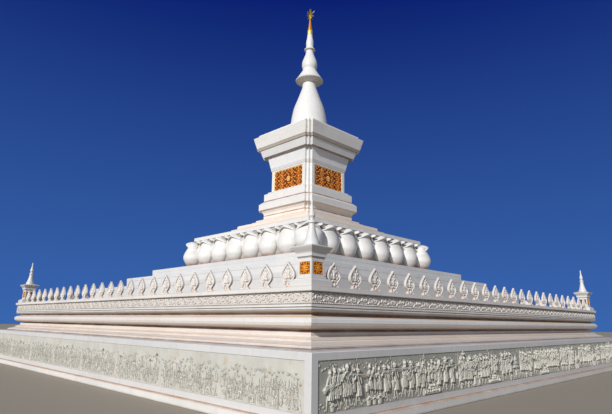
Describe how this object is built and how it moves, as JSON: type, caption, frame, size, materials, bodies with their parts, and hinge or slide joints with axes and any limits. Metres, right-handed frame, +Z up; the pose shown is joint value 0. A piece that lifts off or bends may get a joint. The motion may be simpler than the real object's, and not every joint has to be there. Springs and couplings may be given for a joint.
{
  "type": "stupa",
  "caption": "White marble stupa on a square terrace with relief panels, leaf merlons, corner stupas, lotus ring, tower with gold panels, bell and spire.",
  "frame": {"origin": "middle of the ground face, under the spire's axis", "axes": "+Z up, front towards -Y, right side towards +X"},
  "size_m": [17.32, 17.32, 15.745],
  "materials": {
    "white_marble": "honed slabs with pale joints",
    "cream_marble": "weathered slabs with pink and brown stained joints",
    "relief_stone": "carved grey stone",
    "gilding": "gold leaf on carved panels"
  },
  "bodies": {
    "root": {"lower_step": "cream_marble", "plinth": "white_marble", "relief_panel_front": "relief_stone", "relief_panel_right": "relief_stone", "relief_panel_back": "relief_stone", "relief_panel_left": "relief_stone", "stepped_base": "cream_marble", "waist_moulding": "cream_marble", "cornice": "white_marble", "frieze_band": "white_marble", "terrace_floor": "cream_marble", "parapet_front": "white_marble", "parapet_right": "white_marble", "parapet_back": "white_marble", "parapet_left": "white_marble", "corner_front_left_foot": "white_marble", "corner_front_left_shrine": "white_marble", "corner_front_left_spire": "white_marble", "corner_front_right_foot": "white_marble", "corner_front_right_shrine": "white_marble", "corner_front_right_spire": "white_marble", "corner_back_right_foot": "white_marble", "corner_back_right_shrine": "white_marble", "corner_back_right_spire": "white_marble", "corner_back_left_foot": "white_marble", "corner_back_left_shrine": "white_marble", "corner_back_left_spire": "white_marble", "tier_1": "white_marble", "tier_2": "white_marble", "tier_3": "white_marble", "lotus_ring": "white_marble", "platform_slab": "white_marble", "platform_steps": "cream_marble", "tower_foot": "white_marble", "tower_base": "white_marble", "tower_shaft": "white_marble", "gold_panel_front": "gilding", "gold_panel_right": "gilding", "gold_panel_back": "gilding", "gold_panel_left": "gilding", "tower_neck": "white_marble", "tower_cap": "white_marble", "bell": "white_marble", "spire": "white_marble", "finial": "gilding"}
  },
  "joints": []
}
